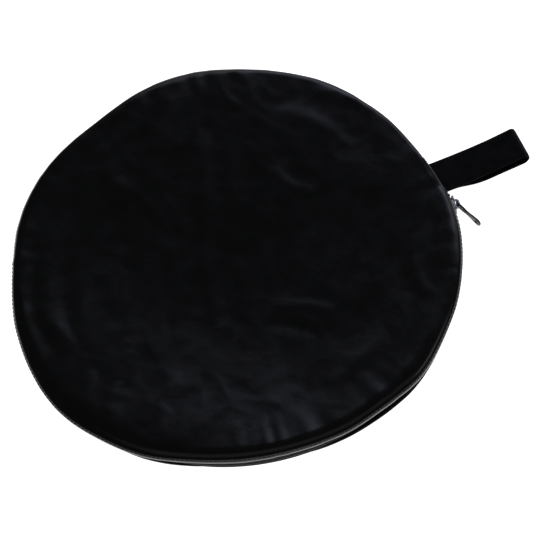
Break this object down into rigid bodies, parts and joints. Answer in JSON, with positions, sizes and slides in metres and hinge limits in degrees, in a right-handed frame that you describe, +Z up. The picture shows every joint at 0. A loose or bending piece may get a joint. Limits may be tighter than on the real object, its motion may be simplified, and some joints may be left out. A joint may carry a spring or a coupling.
{
  "type": "collapsible reflector disc",
  "caption": "Collapsible light reflector folded into coils inside a flat round zipped pouch with a webbing handle.",
  "frame": {"origin": "middle of the pouch's flat underside, on the surface that it lies on", "axes": "+Z up through the pouch's thickness, +X out of the rim along the webbing handle"},
  "size_m": [0.3693, 0.3048, 0.022],
  "materials": {
    "pouch_cloth": "plain woven nylon with a soft sheen",
    "webbing": "woven polyester webbing, matt",
    "binding_tape": "woven edge tape, matt",
    "zip_tape": "knitted zip tape, matt",
    "zip_teeth": "nylon coil, satin",
    "stop_metal": "black enamel, worn at the edges",
    "slider_metal": "dark nickel, semi-gloss",
    "pull_metal": "dark nickel, semi-gloss",
    "spring_steel": "blued spring steel strip",
    "sleeve_metal": "crimped steel",
    "silver_cloth": "metallised silver cloth, crumpled",
    "white_cloth": "matt white cloth"
  },
  "bodies": {
    "pouch": {"back_panel": "pouch_cloth", "back_panel_lip": "pouch_cloth", "front_pocket_panel": "pouch_cloth", "seam_binding": "binding_tape", "zip_tape_lower": "zip_tape", "zip_tape_upper_ends": "zip_tape", "zip_chain_lower": "zip_teeth", "zip_chain_upper_ends": "zip_teeth", "top_stop_lower": "stop_metal", "top_stop_upper": "stop_metal", "bottom_stop": "stop_metal", "closed_end_tab": "pouch_cloth", "open_end_tab": "pouch_cloth", "handle_tails": "webbing"},
    "flap": {"front_flap_panel": "pouch_cloth", "zip_tape_upper": "zip_tape", "zip_chain_upper": "zip_teeth"},
    "slider": {"slider_body": "slider_metal"},
    "pull": {"pull_tab": "pull_metal"},
    "handle": {"handle_loop": "webbing"},
    "reflector": {"spring_band": "spring_steel", "band_splice_sleeve": "sleeve_metal", "edge_binding": "binding_tape", "reflector_cloth": "silver_cloth", "hang_loop": "binding_tape"}
  },
  "joints": [
    {"name": "zip_run", "type": "hinge", "parent": "pouch", "child": "slider", "pos_m": [0, 0, 0.011], "axis": [0, 0, -1], "range_deg": [0, 189]},
    {"name": "pull_swing", "type": "hinge", "parent": "slider", "child": "pull", "pos_m": [0.15398, -0.02439, 0.011], "axis": [0, 0, 1], "range_deg": [-28, 85]},
    {"name": "flap_open", "type": "hinge", "parent": "pouch", "child": "flap", "pos_m": [0, 0, 0.0223], "axis": [-0.9724, 0.2334, 0], "range_deg": [0, 160]},
    {"name": "reflector_out", "type": "slide", "parent": "pouch", "child": "reflector", "axis": [-0.2334, -0.9724, 0], "range_m": [0, 0.322], "deforming": ["back_panel_lip", "zip_tape_lower", "zip_chain_lower"]},
    {"name": "handle_swing", "type": "hinge", "parent": "pouch", "child": "handle", "pos_m": [0.1545, 0, 0.011], "axis": [0, -1, 0], "range_deg": [0, 90]}
  ],
  "couplings": [
    {"joint": "reflector_out", "follows": "flap_open", "m_per_rad": 0.115}
  ]
}
